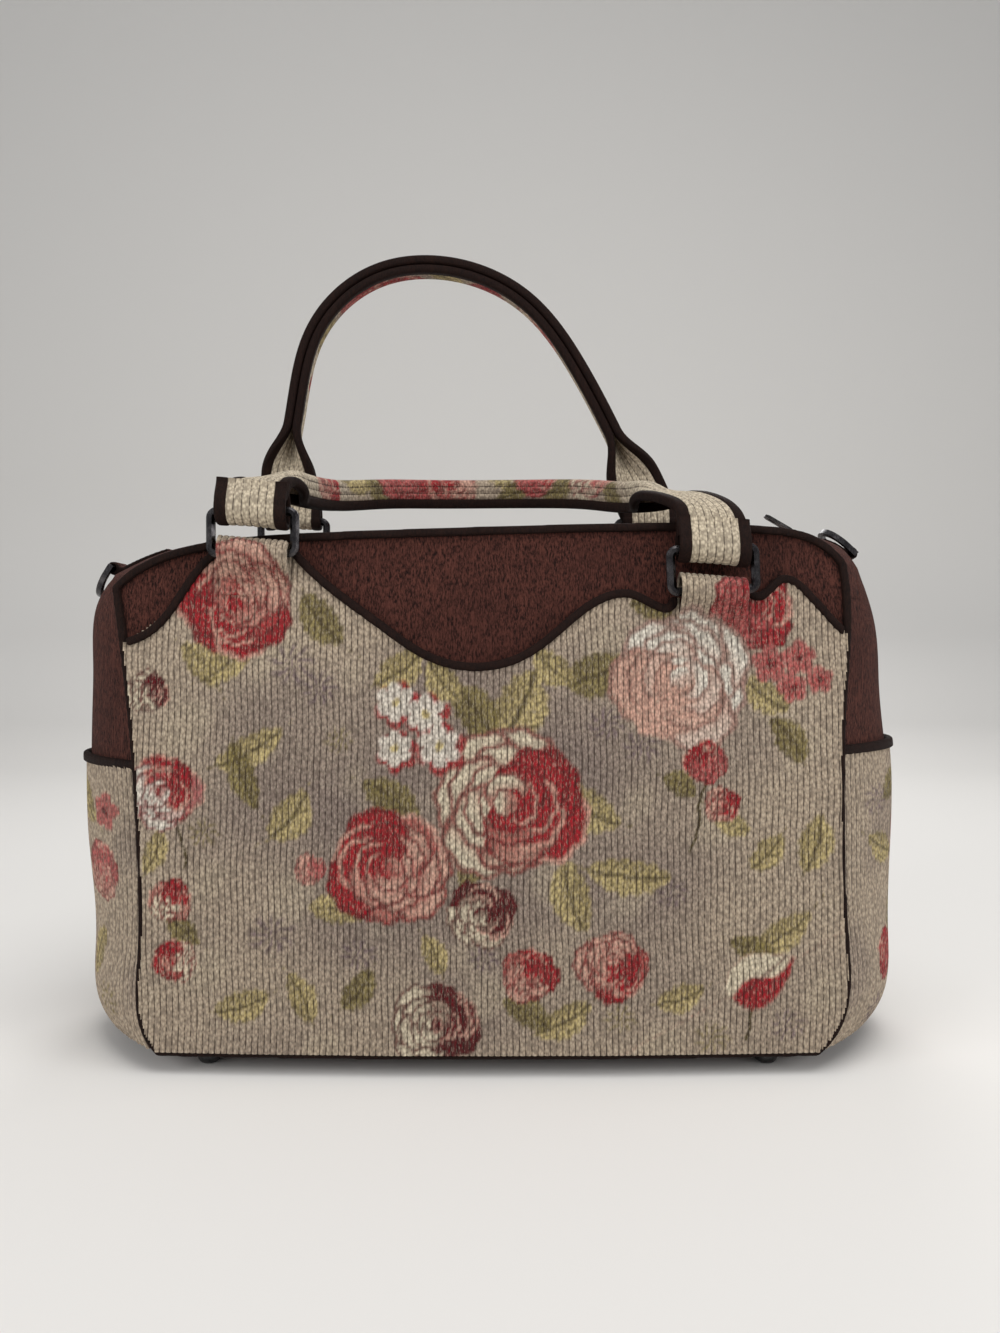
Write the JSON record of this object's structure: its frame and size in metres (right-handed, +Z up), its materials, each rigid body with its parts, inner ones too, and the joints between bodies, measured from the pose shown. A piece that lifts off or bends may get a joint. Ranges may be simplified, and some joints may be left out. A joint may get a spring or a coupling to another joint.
{
  "type": "carpet bag",
  "caption": "Zip-top fabric travel bag with rose-print knit pockets, strap handles on metal rings and feet",
  "frame": {"origin": "on the surface the bag stands on, under the middle of its outline", "axes": "+X along the bag to the zip slider's closed end, +Y from the front wall to the back wall, +Z up"},
  "size_m": [0.4615, 0.1744, 0.4639],
  "materials": {
    "tweed": "burgundy tweed with paler slubs",
    "knit": "ribbed knit, grey-beige, with printed roses",
    "binding": "dark brown bias tape",
    "zip_tape": "woven tape",
    "teeth": "moulded teeth",
    "gunmetal": "gunmetal plated",
    "board": "greyboard stiffener",
    "foot": "black studs"
  },
  "bodies": {
    "bag": {"front_wall": "tweed", "back_wall": "tweed", "left_gusset": "tweed", "right_gusset": "tweed", "base_panel": "tweed", "front_top_strip": "tweed", "back_top_strip": "tweed", "left_end_tab": "tweed", "right_end_tab": "tweed", "front_pocket": "knit", "back_pocket": "knit", "left_side_pocket": "knit", "right_side_pocket": "knit", "front_piping": "binding", "back_piping": "binding", "front_pocket_binding": "binding", "back_pocket_binding": "binding", "left_pocket_binding": "binding", "right_pocket_binding": "binding", "left_tab_binding": "binding", "right_tab_binding": "binding", "zip_tape_front": "zip_tape", "zip_tape_back": "zip_tape", "zip_teeth_front": "teeth", "zip_teeth_back": "teeth", "zip_stop_left": "gunmetal", "zip_stop_right": "gunmetal", "base_board": "board", "foot_front_left": "foot", "foot_front_right": "foot", "foot_back_left": "foot", "foot_back_right": "foot"},
    "slider": {"zip_slider": "gunmetal"},
    "pull": {"zip_pull": "gunmetal"},
    "left_d": {"left_d_ring": "gunmetal"},
    "right_d": {"right_d_ring": "gunmetal"},
    "front_ring_l": {"front_ring_left": "gunmetal"},
    "front_ring_r": {"front_ring_right": "gunmetal"},
    "back_ring_l": {"back_ring_left": "gunmetal"},
    "back_ring_r": {"back_ring_right": "gunmetal"},
    "front_carry": {"front_handle": "knit", "front_handle_binding": "binding"},
    "back_carry": {"back_handle": "knit", "back_handle_binding": "binding"}
  },
  "joints": [
    {"name": "zip_run", "type": "slide", "parent": "bag", "child": "slider", "axis": [1, 0, 0], "range_m": [-0.312, 0]},
    {"name": "pull_swing", "type": "hinge", "parent": "slider", "child": "pull", "pos_m": [0.18, 0, 0.2786], "axis": [0, 1, 0], "range_deg": [-24, 120]},
    {"name": "left_d_swing", "type": "hinge", "parent": "bag", "child": "left_d", "pos_m": [-0.2135, 0, 0.2595], "axis": [0, 1, 0], "range_deg": [0, 185]},
    {"name": "right_d_swing", "type": "hinge", "parent": "bag", "child": "right_d", "pos_m": [0.206, 0, 0.268], "axis": [0, 1, 0], "range_deg": [0, 185]},
    {"name": "front_ring_swing", "type": "hinge", "parent": "bag", "child": "front_ring_l", "pos_m": [-0.1185, -0.07248, 0.262], "axis": [0.9966, -0.0135, -0.0816], "range_deg": [0, 75]},
    {"name": "front_ring_swing_right", "type": "hinge", "parent": "bag", "child": "front_ring_r", "pos_m": [0.1135, -0.07562, 0.243], "axis": [0.9966, -0.0135, -0.0816], "range_deg": [0, 75]},
    {"name": "front_handle_swing", "type": "hinge", "parent": "front_ring_l", "child": "front_carry", "pos_m": [-0.1185, -0.07248, 0.283], "axis": [0.9966, -0.0135, -0.0816], "range_deg": [0, 150]},
    {"name": "back_ring_swing", "type": "hinge", "parent": "bag", "child": "back_ring_l", "pos_m": [-0.127, 0.06995, 0.275], "axis": [-1, -0.004, 0], "range_deg": [0, 75]},
    {"name": "back_ring_swing_right", "type": "hinge", "parent": "bag", "child": "back_ring_r", "pos_m": [0.1035, 0.07086, 0.275], "axis": [-1, -0.004, 0], "range_deg": [0, 75]},
    {"name": "back_handle_swing", "type": "hinge", "parent": "back_ring_l", "child": "back_carry", "pos_m": [-0.127, 0.06995, 0.296], "axis": [-1, -0.004, 0], "range_deg": [0, 90]}
  ],
  "couplings": [
    {"joint": "front_ring_swing_right", "follows": "front_ring_swing", "ratio": 1},
    {"joint": "back_ring_swing_right", "follows": "back_ring_swing", "ratio": 1}
  ]
}
